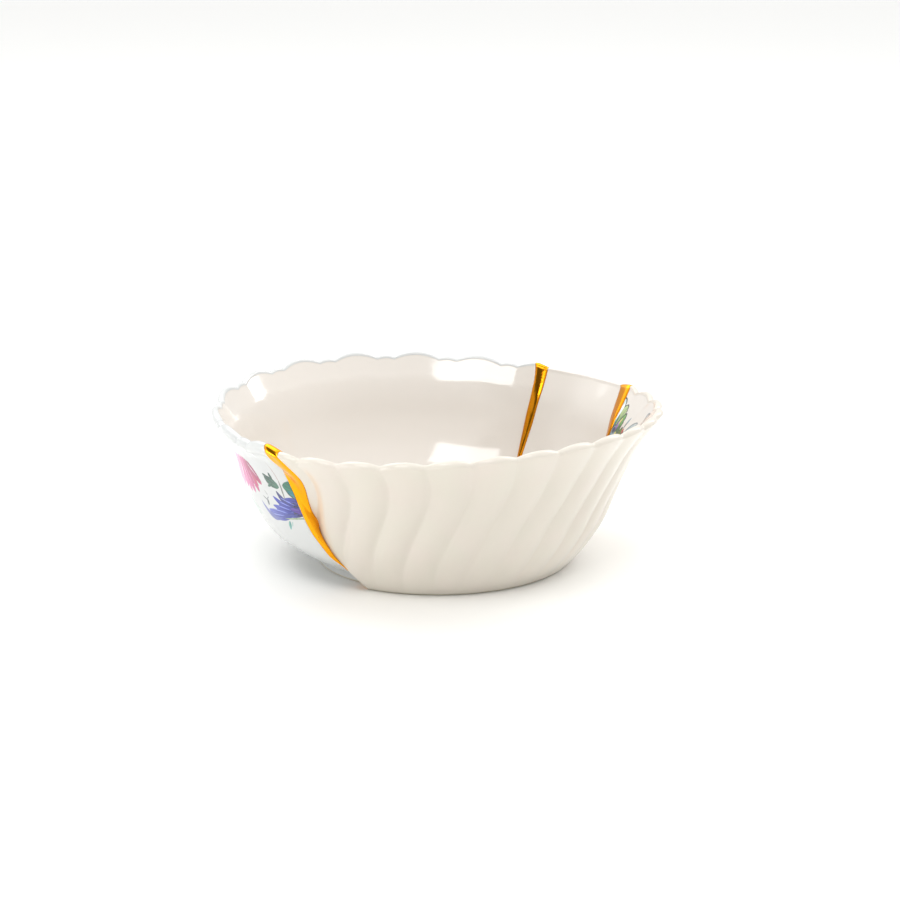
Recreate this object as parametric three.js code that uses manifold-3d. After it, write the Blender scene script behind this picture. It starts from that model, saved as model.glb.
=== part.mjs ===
// A kintsugi bowl: shards of three porcelain bowls, joined by one seam of gold lacquer.
// Millimetres, +Z up. The origin is the middle of the foot, on the surface that the bowl stands on,
// and the fluted shard faces -Y. Angles are degrees, anticlockwise from +X seen from above.

import * as THREE from "three";
import { mergeVertices } from "three/addons/utils/BufferGeometryUtils.js";
import Module from "manifold-3d";

const wasm = await Module();
wasm.setup();

// Driving dimensions of the whole bowl
const RIM_HEIGHT = 65;
const FLOOR_HEIGHT = 6.6;
const RECESS_HEIGHT = 2;
const RECESS_RADIUS = 44.8;
const FOOT_INNER_RADIUS = 46.5;
const RIM_ROUNDING = 1.4;
const WALL_STEPS = 11;

// The rim is out of true: it rises at the front right and back left, and falls between them
const RIM_WARP = 2.4;
const WARP_START = 10;

// Scallops of a rim reach down the wall to this height
const SCALLOP_START = 46;
const SCALLOP_FLARE = 0.6;

// Flutes of the fluted bowl, which lean round the wall as they go down
const FLUTE_COUNT = 32;
const FLUTE_GROOVE = -93;
const FLUTE_SCALLOP = 2;
const FLUTE_STEPS = 4;
const FLUTE_ROUNDNESS = 2.2;
const FLUTE_DEPTHS = [[0, 0.2], [10, 0.7], [26, 1.5], [RIM_HEIGHT, 1.5]];
const FLUTE_TWISTS = [[0, -10.5], [9, -10], [26, -5.5], [35, -2.6], [44, 0], [54, 1.1], [RIM_HEIGHT, 0]];

// Lobes of the painted bowl's rim, wide and narrow in turn
const LOBE_PAIRS = 20;
const LOBE_CENTRE = 96;
const LOBE_SCALLOP = 2;
const WIDE_LOBE = 13;
const NARROW_LOBE_RISE = 0.3;
const LOBE_STEPS = 6;

// The plain bowl is turned with this many facets
const PLAIN_STEPS = 60;

// Share of a lobe's rise that lies under the mean surface
const LOBE_MEAN = 0.6;

// Gold lacquer: its gap to each broken edge, how far it stands proud of the walls and lies back
// from the underside, and how far each arm runs past the middle of the floor into the others
const BOND_GAP = 0.3;
const GOLD_CROWN = 0.8;
const GOLD_RECESS = 0.4;
const GOLD_OVERLAP = 0.25;

// Steps of the faces that the shards break along, and of the arc that closes them outside the rim
const CUT_HEIGHTS = { from: -4, to: 74, step: 3 };
const CUT_RADII = [27, 54, 64, 74, 84, 100];
const CUT_ARC_STEPS = 6;

const FULL_TURN = 360;

// A smooth function through [place, value] stations, level beyond both ends.
function through(stations) {
  const last = stations.length - 1;
  const slope = (at) => {
    const [before, after] = [stations[Math.max(at - 1, 0)], stations[Math.min(at + 1, last)]];
    return (after[1] - before[1]) / (after[0] - before[0]);
  };
  return (place) => {
    const inside = THREE.MathUtils.clamp(place, stations[0][0], stations[last][0]);
    const from = Math.max(0, stations.findLastIndex(([start], at) => start <= inside && at < last));
    const [[start, low], [end, high]] = [stations[from], stations[from + 1]];
    const span = end - start;
    const t = (inside - start) / span;
    const held = low * (1 + 2 * t) * (1 - t) ** 2 + high * t * t * (3 - 2 * t);
    return held + span * (slope(from) * t * (1 - t) ** 2 - slope(from + 1) * t * t * (1 - t));
  };
}

// How far an angle lies from the nearest of evenly spaced marks, in shares of their spacing.
function fromMark(angle, mark, spacing) {
  const turns = (angle - mark) / spacing;
  return turns - Math.round(turns);
}

// One flute across its width: 0 in the groove, 1 on the crest.
function fluteLobe(angle) {
  const groove = Math.abs(fromMark(angle, FLUTE_GROOVE, FULL_TURN / FLUTE_COUNT));
  return 1 - (1 - 2 * groove) ** FLUTE_ROUNDNESS;
}

// The painted bowl's rim: 1 on a wide lobe, less on a narrow one, 0 in the notches between them.
function rimLobe(angle) {
  const pitch = FULL_TURN / LOBE_PAIRS;
  const away = Math.abs(fromMark(angle, LOBE_CENTRE, pitch)) * pitch;
  const half = WIDE_LOBE / 2;
  if (away <= half) return 1 - (away / half) ** 2;
  const narrowHalf = pitch / 2 - half;
  return NARROW_LOBE_RISE * (1 - ((pitch / 2 - away) / narrowHalf) ** 2);
}

// A bowl's outline as stations from the axis to the rim, one list outside and one inside,
// and the top of the rim that joins them. Wall points are [radius, height].
function bowl({ footRadius, outside, inside, ...relief }) {
  const station = (radius, height, out) => ({ radius, height, out });
  const curve = (points) => new THREE.SplineCurve(points.map((point) => new THREE.Vector2(...point)));
  const wall = (points, out) => curve(points)
    .getPoints(WALL_STEPS)
    .map(({ x, y }) => station(x, y, out));
  const under = [
    station(0, RECESS_HEIGHT, false),
    station(RECESS_RADIUS, RECESS_HEIGHT, false),
    station(FOOT_INNER_RADIUS, 0, false),
    station(footRadius, 0, false),
  ];
  const floorEdge = inside[0][0];
  const floor = under.map((_, at) => station(floorEdge * at / under.length, FLOOR_HEIGHT, false));
  const outer = [...under, ...wall(outside, true)];
  const inner = [...floor, ...wall(inside, false)];
  const [lip, brim] = [outer.at(-1), inner.at(-1)];
  const top = station(
    (lip.radius + brim.radius) / 2,
    (lip.height + brim.height) / 2 + RIM_ROUNDING,
    false,
  );
  return { ...relief, outer, inner, top };
}

const still = () => 0;

const flutedBowl = bowl({
  footRadius: 56.6,
  outside: [[57.4, 0.8], [64.4, 9], [71.2, 20], [75.5, 31], [80.2, 42], [86, 53], [94.4, 64]],
  inside: [[44, 6.6], [56.5, 9.2], [65, 17.5], [70.9, 29], [75.8, 41], [82, 53.5], [91.6, 64.8]],
  columns: FLUTE_COUNT * FLUTE_STEPS,
  firstAngle: FLUTE_GROOVE,
  lobe: fluteLobe,
  scallop: FLUTE_SCALLOP,
  depth: through(FLUTE_DEPTHS),
  twist: through(FLUTE_TWISTS),
  frontWarp: RIM_WARP,
});

const paintedBowl = bowl({
  footRadius: 51.5,
  outside: [
    [51.7, 3.2], [62.6, 9.2], [72.6, 17.4], [78.9, 27.2], [83.6, 38], [86.4, 48.5], [89, 57.5],
    [94.6, 62.2], [95, 64.6],
  ],
  inside: [
    [42, 6.6], [56, 9.8], [66.8, 17.6], [74, 27.5], [79.2, 38.5], [82.9, 49], [85.9, 56], [88.6, 60.3],
    [91.8, 65.1],
  ],
  columns: LOBE_PAIRS * LOBE_STEPS,
  firstAngle: LOBE_CENTRE,
  lobe: rimLobe,
  scallop: LOBE_SCALLOP,
  depth: still,
  twist: still,
  frontWarp: RIM_WARP / 3,
});

const plainBowl = bowl({
  footRadius: 51.5,
  outside: [[51.7, 3.2], [63, 9.8], [72.2, 19], [78.4, 30], [82.8, 41], [87.4, 52.5], [94.6, 63.8]],
  inside: [[42, 6.6], [56.5, 10], [66.5, 18.5], [73.5, 29.5], [78.4, 41], [83.2, 53], [91.6, 64.8]],
  columns: PLAIN_STEPS,
  firstAngle: 0,
  lobe: () => LOBE_MEAN,
  scallop: 0,
  depth: still,
  twist: still,
  frontWarp: RIM_WARP,
});

// The breaks, each by [height, angle] and [height, half width] up the wall.
const frontBreak = {
  angle: through([
    [0, -120.6], [5, -122.5], [10, -125], [16, -127], [21, -127.8], [28, -129.7], [36, -130.6],
    [52, -131.4], [70, -135.4],
  ]),
  halfWidth: through([[0, 0.6], [36, 0.6], [43, 1.7], [50, 3.4], [55, 4.2], [60, 3.7], [70, 3.4]]),
};
const backBreak = {
  angle: through([[0, 59.2], [26, 59.3], [33, 59.2], [42, 58.7], [53, 58.2], [59, 58.5], [70, 60]]),
  halfWidth: through([[0, 0.7], [18, 0.8], [26, 1.2], [33, 1.8], [42, 2.5], [59, 2.9], [70, 3.6]]),
};
const rightBreak = {
  angle: through([[0, 19], [30, 19], [46, 20.2], [52, 21.7], [59, 24.3], [70, 29]]),
  halfWidth: through([[0, 0.7], [20, 0.9], [36, 1.8], [46, 2.9], [53, 3.6], [60, 4], [70, 4.3]]),
};

const toRadians = THREE.MathUtils.degToRad;
const UP = new THREE.Vector3(0, 0, 1);

// A station of a bowl's outline at an angle, with its flutes, scallops and warp.
function surfacePoint(form, station, angle) {
  const lobe = form.lobe(angle - form.twist(station.height)) - LOBE_MEAN;
  const nearRim = Math.max(0, (station.height - SCALLOP_START) / (RIM_HEIGHT - SCALLOP_START)) ** 2;
  const scallop = lobe * nearRim * form.scallop;
  const flute = station.out ? lobe * form.depth(station.height) : 0;
  const radius = station.radius + flute + scallop * SCALLOP_FLARE;
  const raised = Math.max(0, station.height - WARP_START) / (RIM_HEIGHT - WARP_START);
  const turn = toRadians(angle);
  const warp = Math.sin(turn) < 0 ? form.frontWarp : RIM_WARP;
  const height = station.height + scallop - warp * Math.sin(2 * turn) * raised;
  return new THREE.Vector3(radius * Math.cos(turn), radius * Math.sin(turn), height);
}

// A closed geometry as a solid for cutting and joining.
function solid(geometry) {
  const bare = new THREE.BufferGeometry();
  bare.setAttribute("position", geometry.getAttribute("position"));
  bare.setIndex(geometry.getIndex());
  const merged = mergeVertices(bare);
  const corners = merged.getIndex().array;
  const triangles = [];
  for (let at = 0; at < corners.length; at += 3) {
    const [a, b, c] = corners.slice(at, at + 3);
    if (a !== b && b !== c && c !== a) triangles.push(a, b, c);
  }
  const mesh = new wasm.Mesh({
    numProp: 3,
    vertProperties: new Float32Array(merged.getAttribute("position").array),
    triVerts: new Uint32Array(triangles),
  });
  return new wasm.Manifold(mesh);
}

// A closed body through rings of points, anticlockwise as the body comes towards the eye.
function loft(rings) {
  const count = rings[0].length;
  const index = [];
  for (let row = 0; row < rings.length - 1; row++) {
    for (let at = 0; at < count; at++) {
      const [low, high] = [row * count, (row + 1) * count];
      const next = (at + 1) % count;
      index.push(low + at, low + next, high + next, low + at, high + next, high + at);
    }
  }
  const end = (rings.length - 1) * count;
  for (let at = 1; at < count - 1; at++) {
    index.push(0, at + 1, at, end, end + at, end + at + 1);
  }
  const geometry = new THREE.BufferGeometry().setFromPoints(rings.flat());
  geometry.setIndex(index);
  return solid(geometry);
}

// The whole bowl that a shard comes from: its outline turned on the axis, then lobed and warped.
function wholeBowl(form) {
  const outline = [...form.outer, form.top, ...form.inner.toReversed()];
  const profile = outline.map(({ radius, height }) => new THREE.Vector2(radius, height));
  const geometry = new THREE.LatheGeometry(profile, form.columns);
  const positions = geometry.getAttribute("position");
  for (let column = 0; column <= form.columns; column++) {
    const turned = form.firstAngle + FULL_TURN * (column % form.columns) / form.columns;
    outline.forEach((station, row) => {
      const point = surfacePoint(form, station, turned + form.twist(station.height));
      positions.setXYZ(column * outline.length + row, ...point);
    });
  }
  return solid(geometry);
}

// A point beside a break: so far out along it, and so far to its anticlockwise side.
function besideBreak(line, height, along, aside) {
  const turn = toRadians(line.angle(height));
  return new THREE.Vector3(along, aside, height).applyAxisAngle(UP, turn);
}

// The sector between two breaks, anticlockwise from the first, as a body to cut a shard out with.
function sector(first, second) {
  const rings = [];
  for (let height = CUT_HEIGHTS.from; height <= CUT_HEIGHTS.to; height += CUT_HEIGHTS.step) {
    const [width, farWidth] = [first.halfWidth(height), second.halfWidth(height)];
    const open = toRadians((second.angle(height) - first.angle(height) + FULL_TURN) % FULL_TURN);
    const tip = (width * Math.cos(open) + farWidth) / Math.sin(open);
    const reach = CUT_RADII.at(-1);
    const side = (line, aside) => CUT_RADII.map((along) => besideBreak(line, height, along, aside));
    const arc = [];
    for (let step = 1; step < CUT_ARC_STEPS; step++) {
      const turn = open * step / CUT_ARC_STEPS;
      arc.push(besideBreak(first, height, reach * Math.cos(turn), reach * Math.sin(turn)));
    }
    rings.push([
      besideBreak(first, height, tip, width),
      ...side(first, width),
      ...arc,
      ...side(second, -farWidth).toReversed(),
    ]);
  }
  return loft(rings);
}

// A point of the gold on the edge of a bowl's wall, on the side of the break that the bowl is on,
// lifted along the break where the gold closes over the rim.
function goldEdge(line, form, station, side, lift) {
  const gold = (height) => side * (line.halfWidth(height) - BOND_GAP);
  let { height } = station;
  let reach = 0;
  for (let pass = 0; pass < 3; pass++) {
    const lean = Math.atan2(gold(height), Math.max(station.radius, Math.abs(gold(height))));
    const there = surfacePoint(form, station, line.angle(height) + THREE.MathUtils.radToDeg(lean));
    reach = Math.hypot(there.x, there.y);
    height = there.z;
  }
  const along = station.radius ? Math.sqrt(reach ** 2 - gold(height) ** 2) : -GOLD_OVERLAP;
  return besideBreak(line, height + lift, along, gold(height + lift));
}

// The gold in one break, from the middle of the floor to the rim, between its clockwise and
// anticlockwise shards. It lies back from the underside and stands proud of both sides of the wall.
function goldArm(line, clockwise, anticlockwise) {
  const middle = ([one, other]) => one.clone().lerp(other, 0.5);
  const ring = (at, lift) => {
    const edges = (side) => [
      goldEdge(line, clockwise, clockwise[side].at(at), -1, lift),
      goldEdge(line, anticlockwise, anticlockwise[side].at(at), 1, lift),
    ];
    const [outer, inner] = [edges("outer"), edges("inner")];
    const outward = middle(outer).sub(middle(inner)).normalize();
    const isWall = clockwise.outer.at(at).out;
    const under = outer.map((point) => point.addScaledVector(outward, isWall ? 0 : -GOLD_RECESS));
    const outCrown = middle(under).addScaledVector(outward, isWall ? GOLD_CROWN : 0);
    const inCrown = middle(inner).addScaledVector(outward, -GOLD_CROWN);
    return [under[0], outCrown, under[1], inner[1], inCrown, inner[0]];
  };
  const rings = clockwise.outer.map((_, at) => ring(at, 0));
  return loft([...rings, ring(-1, RIM_ROUNDING)]);
}

const glaze = (color, roughness) => new THREE.MeshStandardMaterial({ color, roughness, metalness: 0 });
const ivoryGlaze = glaze("#f1ece4", 0.35);
const whiteGlaze = glaze("#f6f4f2", 0.15);
const plainGlaze = glaze("#f3efec", 0.2);
const goldLacquer = new THREE.MeshStandardMaterial({ color: "#d99a1c", roughness: 0.25, metalness: 1 });

// A solid as a named mesh.
function piece(name, body, material) {
  const { vertProperties, triVerts } = body.getMesh();
  const geometry = new THREE.BufferGeometry();
  geometry.setAttribute("position", new THREE.BufferAttribute(vertProperties, 3));
  geometry.setIndex(new THREE.BufferAttribute(triVerts, 1));
  geometry.computeVertexNormals();
  const mesh = new THREE.Mesh(geometry, material);
  mesh.name = name;
  return mesh;
}

// A shard of a bowl between two breaks.
function shard(name, form, first, second, material) {
  return piece(name, wholeBowl(form).intersect(sector(first, second)), material);
}

const goldSeam = goldArm(frontBreak, paintedBowl, flutedBowl)
  .add(goldArm(backBreak, plainBowl, paintedBowl))
  .add(goldArm(rightBreak, flutedBowl, plainBowl));

const kintsugiBowl = new THREE.Group();
kintsugiBowl.add(
  shard("fluted_shard", flutedBowl, frontBreak, rightBreak, ivoryGlaze),
  shard("painted_shard", paintedBowl, backBreak, frontBreak, whiteGlaze),
  shard("plain_shard", plainBowl, rightBreak, backBreak, plainGlaze),
  piece("gold_seam", goldSeam, goldLacquer),
);

export default kintsugiBowl;
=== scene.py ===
"""A kintsugi bowl: shards of three porcelain bowls, joined by one seam of gold lacquer.

Shapes are worked out in millimetres and go into the scene in metres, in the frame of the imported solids:
+Z up, the middle of the foot at the origin, the fluted shard towards -Y, and angles in degrees,
anticlockwise from +X seen from above.
"""

import math
from dataclasses import dataclass
from typing import Callable

import bpy
import numpy as np
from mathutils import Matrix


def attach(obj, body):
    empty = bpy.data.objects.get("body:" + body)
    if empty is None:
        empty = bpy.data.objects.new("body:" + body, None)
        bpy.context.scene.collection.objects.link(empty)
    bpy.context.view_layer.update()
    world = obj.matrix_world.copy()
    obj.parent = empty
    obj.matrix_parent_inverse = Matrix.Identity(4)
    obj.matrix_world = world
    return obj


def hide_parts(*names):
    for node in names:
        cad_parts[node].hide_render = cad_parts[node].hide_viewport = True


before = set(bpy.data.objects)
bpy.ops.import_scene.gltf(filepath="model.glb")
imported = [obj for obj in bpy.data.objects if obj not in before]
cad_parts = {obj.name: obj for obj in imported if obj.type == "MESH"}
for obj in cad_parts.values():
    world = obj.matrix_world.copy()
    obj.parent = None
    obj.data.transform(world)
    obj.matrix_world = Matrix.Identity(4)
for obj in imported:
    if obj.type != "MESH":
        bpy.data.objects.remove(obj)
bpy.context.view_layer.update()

bl_info = {
    "name": "Kintsugi bowl",
    "version": (1, 0, 0),
    "blender": (4, 5, 0),
    "location": "View3D > Sidebar > Kintsugi bowl",
    "description": "Makes a porcelain bowl of three unlike shards joined with gold lacquer",
    "category": "Add Mesh",
}

MM = 0.001
FULL_TURN = 360.0

# Driving dimensions of the whole bowl, as in the solids
RIM_HEIGHT = 65.0
FLOOR_HEIGHT = 6.6
RECESS_HEIGHT = 2.0
RECESS_RADIUS = 44.8
FOOT_INNER_RADIUS = 46.5
RIM_ROUNDING = 1.4

# The rim is out of true: it rises at the front right and back left, and falls between them
RIM_WARP = 2.4
WARP_START = 10.0

# Scallops of a rim reach down the wall to this height
SCALLOP_START = 46.0
SCALLOP_FLARE = 0.6

# Flutes, which lean round the wall as they go down; the glaze fills this share of a pitch in each groove
FLUTE_COUNT = 32
FLUTE_GROOVE = -93.0
FLUTE_SCALLOP = 2.0
FLUTE_ROUNDNESS = 2.2
FLUTE_FILL = 0.035
FLUTE_DEPTHS = [(0, 0.2), (10, 0.8), (26, 1.8), (52, 1.8), (65, 1.6)]
FLUTE_TWISTS = [(0, -10.5), (9, -10), (26, -5.5), (35, -2.6), (44, 0), (54, 1.1), (65, 0)]

# Lobes of the painted bowl's rim, wide and narrow in turn
LOBE_PAIRS = 20
LOBE_CENTRE = 96.0
LOBE_SCALLOP = 2.0
WIDE_LOBE = 13.0
NARROW_LOBE_RISE = 0.3

# Share of a lobe's rise that lies under the mean surface
LOBE_MEAN = 0.6

# Rows of points round a bowl's outline, in each of its zones, and the rounding of the foot's corners
UNDER_ROWS = 8
RECESS_MARGIN = 2.0
CORNER_ROWS = 4
CORNER_ROUNDING = 0.8
WALL_ROWS = 56
RIM_ROWS = 10
FLOOR_ROWS = 8
TIP_RADIUS = 1.2

# Zones of a bowl's outline, from the middle of the underside to the middle of the floor
UNDER, FOOT, OUTSIDE, RIM, INSIDE, FLOOR = range(6)

# The foot is free of glaze below this height
BARE_FOOT_HEIGHT = 0.5

# Radius of the wall where a painting's widths are measured, the angles of the paintings' middles, and
# the place in the spray where the bloom ends and the leaves begin
PAINTING_RADIUS = 85.0
SPRAY_ANGLE = 215.0
HIDDEN_BLOOM_ANGLE = 132.0
BLOOM_EDGE = -2.3
GARDEN_ANGLE = 0.0

# Refraction of a lead glaze, brighter in its highlights than window glass
GLAZE_IOR = 1.7

# Gold on the outside narrows towards the foot between these heights, to this half width
GOLD_TAPER = (9.0, 19.0)
GOLD_FOOT_HALF_WIDTH = 0.4

# The gold's section: steps across its flattened top, the width where its crown is full, the crown's share
# over the rim, the depth and share of width of its root in the crack, and how far it lies back underneath
GOLD_ACROSS = 12
GOLD_FLATNESS = 4
GOLD_FULL_WIDTH = 3.0
GOLD_RIM_SHARE = 0.45
GOLD_ROOT_DEPTH = 0.9
GOLD_ROOT_SHARE = 0.6
GOLD_RECESS = 0.12

# A drop of gold where the three breaks meet on the floor: radius and height above the floor
GOLD_DROP = [
    (0.02, -4.4), (1.6, -4.4), (1.6, -0.4), (3.4, -0.1), (2.9, 0.45), (1.9, 0.85), (0.9, 1.02), (0.02, 1.06),
]
GOLD_DROP_SIDES = 40

# The pale floor reaches this many metres each way
FLOOR_REACH = 12.0

# The white room: place along Y and level of light at eye height, behind the camera and opposite it,
# the height where it begins to brighten, and the height and level where it is brightest
ROOM_BEHIND = (-0.9, 0.4)
ROOM_OPPOSITE = (0.2, 0.85)
ROOM_LOW = 0.15
ROOM_OVERHEAD = (0.8, 1.3)

# A dim gap between the lights: its direction, the cosines at its outer and inner edge, and its share of light
DIM_GAP = (-0.64, -0.3, 0.71)
DIM_GAP_EDGES = (0.84, 0.94)
DIM_GAP_SHARE = 0.1

# Soft lights: heading and climb in degrees, metres away, sides in metres, and the setting of its power
LIGHTS = {
    "front light": (246, 55, 1.6, (1.06, 0.5), "front_power"),
    "left light": (195, 5, 1.5, (0.8, 0.26), "left_power"),
    "back light": (125, 55, 1.6, (1.2, 1.2), "back_power"),
    "strip light": (37, 40, 1.6, (0.22, 1.2), "strip_power"),
}

# A long lens, on a sensor of this width
LENS_MM = 97.5
SENSOR_MM = 36.0


def linear(colour):
    """An sRGB hex colour as linear red, green and blue."""
    channels = [int(colour[at:at + 2], 16) / 255 for at in (1, 3, 5)]
    return [c / 12.92 if c <= 0.04045 else ((c + 0.055) / 1.055) ** 2.4 for c in channels]


def colour_property(name, colour, description):
    """A colour that a user may change, given as sRGB hex."""
    return bpy.props.FloatVectorProperty(
        name=name, description=description, subtype="COLOR", size=3, min=0, max=1, default=linear(colour)
    )


class PorcelainSettings(bpy.types.PropertyGroup):
    """Glazes of the three shards."""

    ivory: colour_property("Ivory", "#E0D8CD", "Satin glaze of the fluted shard")
    white: colour_property("White", "#D2D4D3", "Glaze of the painted shard outside")
    warm_white: colour_property("Warm white", "#DFD9D1", "Glaze of the plain shard and of the insides")
    biscuit: colour_property("Biscuit", "#C9C3B2", "Bare porcelain under the foot")
    columns_per_degree: bpy.props.FloatProperty(
        name="Fineness", description="Columns of faces in each degree", default=2.4, min=0.2, max=4
    )


class GoldSettings(bpy.types.PropertyGroup):
    """Gold lacquer of the seam."""

    colour: colour_property("Gold", "#FFAE1E", "Gold powder burnished into lacquer, outside")
    # Painted shade: the same gold lacquer, coloured darker inside the bowl to stand for the dim room that the
    # gold mirrors there
    shaded_inside_colour: colour_property("Gold inside", "#D98A14", "Gold darkened inside the bowl as painted shade")
    crown: bpy.props.FloatProperty(
        name="Crown", description="How far the gold stands proud", default=0.8 * MM, min=0, unit="LENGTH"
    )
    lip: bpy.props.FloatProperty(
        name="Lip", description="How far the gold covers an edge", default=0.35 * MM, min=0, unit="LENGTH"
    )


class StageSettings(bpy.types.PropertyGroup):
    """Floor, lights and camera."""

    floor: colour_property("Floor", "#FBFBF9", "Pale floor")
    front_power: bpy.props.FloatProperty(
        name="Front light", description="Soft light above the camera", default=8.0, min=0, unit="POWER"
    )
    left_power: bpy.props.FloatProperty(
        name="Left light", description="Low soft light from the left", default=4.2, min=0, unit="POWER"
    )
    back_power: bpy.props.FloatProperty(
        name="Back light", description="Soft light high at the back left", default=5.5, min=0, unit="POWER"
    )
    strip_power: bpy.props.FloatProperty(
        name="Strip light", description="Narrow light at the back right", default=5.0, min=0, unit="POWER"
    )
    room_light: bpy.props.FloatProperty(
        name="Room", description="Light from the white room, overhead", default=0.98, min=0
    )
    camera_distance: bpy.props.FloatProperty(
        name="Distance", description="Camera in front of the bowl", default=1.0, min=0.1, unit="LENGTH"
    )
    camera_height: bpy.props.FloatProperty(
        name="Height", description="Camera above the floor", default=0.3168, min=0, unit="LENGTH"
    )
    camera_pitch: bpy.props.FloatProperty(
        name="Pitch", description="Camera below level", default=math.radians(15.15), subtype="ANGLE"
    )
    camera_yaw: bpy.props.FloatProperty(
        name="Yaw", description="Camera towards the right", default=math.radians(0.3), subtype="ANGLE"
    )


def through(stations):
    """A smooth function through (place, value) stations, level beyond both ends."""
    places, values = (np.array(column, float) for column in zip(*stations))
    at = np.arange(len(places))
    before, after = np.maximum(at - 1, 0), np.minimum(at + 1, at[-1])
    slopes = (values[after] - values[before]) / (places[after] - places[before])

    def curve(place):
        place = np.clip(place, places[0], places[-1])
        low = np.clip(np.searchsorted(places, place, side="right") - 1, 0, len(places) - 2)
        span = places[low + 1] - places[low]
        t = (place - places[low]) / span
        held = values[low] * (1 + 2 * t) * (1 - t) ** 2 + values[low + 1] * t * t * (3 - 2 * t)
        return held + span * t * (1 - t) * (slopes[low] * (1 - t) - slopes[low + 1] * t)

    return curve


def spline(points, steps):
    """Points in even steps along a smooth curve through the given ones."""
    points = np.array(points, float)
    last = len(points) - 1
    places = np.linspace(0, last, steps + 1)
    at = np.minimum(places.astype(int), last - 1)
    t = (places - at)[:, None]
    start, end = points[at], points[at + 1]
    leaving = (end - points[np.maximum(at - 1, 0)]) / 2
    arriving = (points[np.minimum(at + 2, last)] - start) / 2
    held = start * (1 + 2 * t) * (1 - t) ** 2 + end * t * t * (3 - 2 * t)
    return held + t * (1 - t) * (leaving * (1 - t) - arriving * t)


def rounded(points, rounding, steps):
    """A line through points, with each corner between its ends rounded."""
    points = np.array(points, float)
    line = [points[0]]
    for before, corner, after in zip(points, points[1:], points[2:]):
        ways = [before - corner, after - corner]
        reaches = [min(rounding, np.linalg.norm(way) / 2.2) for way in ways]
        start, end = (corner + way / np.linalg.norm(way) * reach for way, reach in zip(ways, reaches))
        for t in np.linspace(0, 1, steps + 1):
            line.append(start * (1 - t) ** 2 + 2 * corner * t * (1 - t) + end * t * t)
    line.append(points[-1])
    return np.array(line)


def smooth_step(low, high, value):
    """0 below low, 1 above high, and a smooth rise between them."""
    t = np.clip((value - low) / (high - low), 0, 1)
    return t * t * (3 - 2 * t)


def from_mark(angle, mark, spacing):
    """How far an angle lies from the nearest of evenly spaced marks, in shares of their spacing."""
    turns = (angle - mark) / spacing
    return turns - np.round(turns)


def flute_lobe(angle):
    """One flute across its width: 0 in the groove, 1 on the crest, with glaze in the groove."""
    groove = np.hypot(from_mark(angle, FLUTE_GROOVE, FULL_TURN / FLUTE_COUNT), FLUTE_FILL)
    return 1 - np.maximum(0, 1 - 2 * groove) ** FLUTE_ROUNDNESS


def rim_lobe(angle):
    """The painted bowl's rim: 1 on a wide lobe, less on a narrow one, 0 in the notches between them."""
    pitch = FULL_TURN / LOBE_PAIRS
    away = np.abs(from_mark(angle, LOBE_CENTRE, pitch)) * pitch
    half = WIDE_LOBE / 2
    narrow = NARROW_LOBE_RISE * (1 - ((pitch / 2 - away) / (pitch / 2 - half)) ** 2)
    return np.where(away <= half, 1 - (away / half) ** 2, narrow)


def no_lobe(angle):
    """A smooth rim, at the mean of the others' lobes."""
    return np.full_like(angle, LOBE_MEAN)


def nothing(height):
    """No twist or depth at any height."""
    return np.zeros_like(height)


@dataclass
class Bowl:
    """One of the bowls that a shard comes from: its outline as (radius, height) points, and its relief."""

    foot_radius: float
    outside: list
    inside: list
    lobe: Callable
    scallop: float = 0.0
    depth: Callable = nothing
    twist: Callable = nothing
    front_warp: float = RIM_WARP

    def __post_init__(self):
        """Works out the rows of the outline: their radius, height and zone."""
        recess = np.linspace(TIP_RADIUS, RECESS_RADIUS - RECESS_MARGIN, UNDER_ROWS)
        under = np.column_stack([recess, np.full(UNDER_ROWS, RECESS_HEIGHT)])
        corners = [(RECESS_RADIUS, RECESS_HEIGHT), (FOOT_INNER_RADIUS, 0), (self.foot_radius, 0)]
        foot = rounded([under[-1], *corners, self.outside[0]], CORNER_ROUNDING, CORNER_ROWS)[1:-1]
        outside, inside = spline(self.outside, WALL_ROWS), spline(self.inside, WALL_ROWS)[::-1]
        turn = np.linspace(0, math.pi, RIM_ROWS + 2)[1:-1, None]
        middle, half = (outside[-1] + inside[0]) / 2, (outside[-1] - inside[0]) / 2
        rim = middle + half * np.cos(turn) + RIM_ROUNDING * np.sin(turn) * [0, 1]
        inward = np.linspace(self.inside[0][0], TIP_RADIUS, FLOOR_ROWS + 1)[1:]
        floor = np.column_stack([inward, np.full(FLOOR_ROWS, FLOOR_HEIGHT)])
        parts = [under, foot, outside, rim, inside, floor]
        self.radius, self.height = np.concatenate(parts).T
        counts = [len(part) for part in parts]
        self.zone = np.repeat([UNDER, FOOT, OUTSIDE, RIM, INSIDE, FLOOR], counts)
        self.flute_share = np.where(self.zone == OUTSIDE, 1.0, 0.0)
        self.flute_share[self.zone == RIM] = np.linspace(1, 0, counts[RIM])

    def surface(self, angle):
        """Points of every row at angles given for each row and column."""
        height = np.broadcast_to(self.height[:, None], angle.shape)
        lobe = self.lobe(angle - self.twist(height)) - LOBE_MEAN
        near_rim = np.maximum(0, (height - SCALLOP_START) / (RIM_HEIGHT - SCALLOP_START)) ** 2
        scallop = lobe * near_rim * self.scallop
        flute = self.flute_share[:, None] * lobe * self.depth(height)
        radius = self.radius[:, None] + flute + scallop * SCALLOP_FLARE
        turn = np.radians(angle)
        raised = np.maximum(0, height - WARP_START) / (RIM_HEIGHT - WARP_START)
        warp = np.where(np.sin(turn) < 0, self.front_warp, RIM_WARP) * np.sin(2 * turn)
        top = height + scallop - warp * raised
        return np.stack([radius * np.cos(turn), radius * np.sin(turn), top], axis=-1)

    def along(self, line, offset):
        """Angles of every row at an offset from a break, which follows the real height of the surface."""
        height = self.height
        for _ in range(3):
            angle = line.angle(height) + np.degrees(np.arcsin(np.clip(offset / self.radius, -1, 1)))
            height = self.surface(angle[:, None])[:, 0, 2]
        return angle


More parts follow.
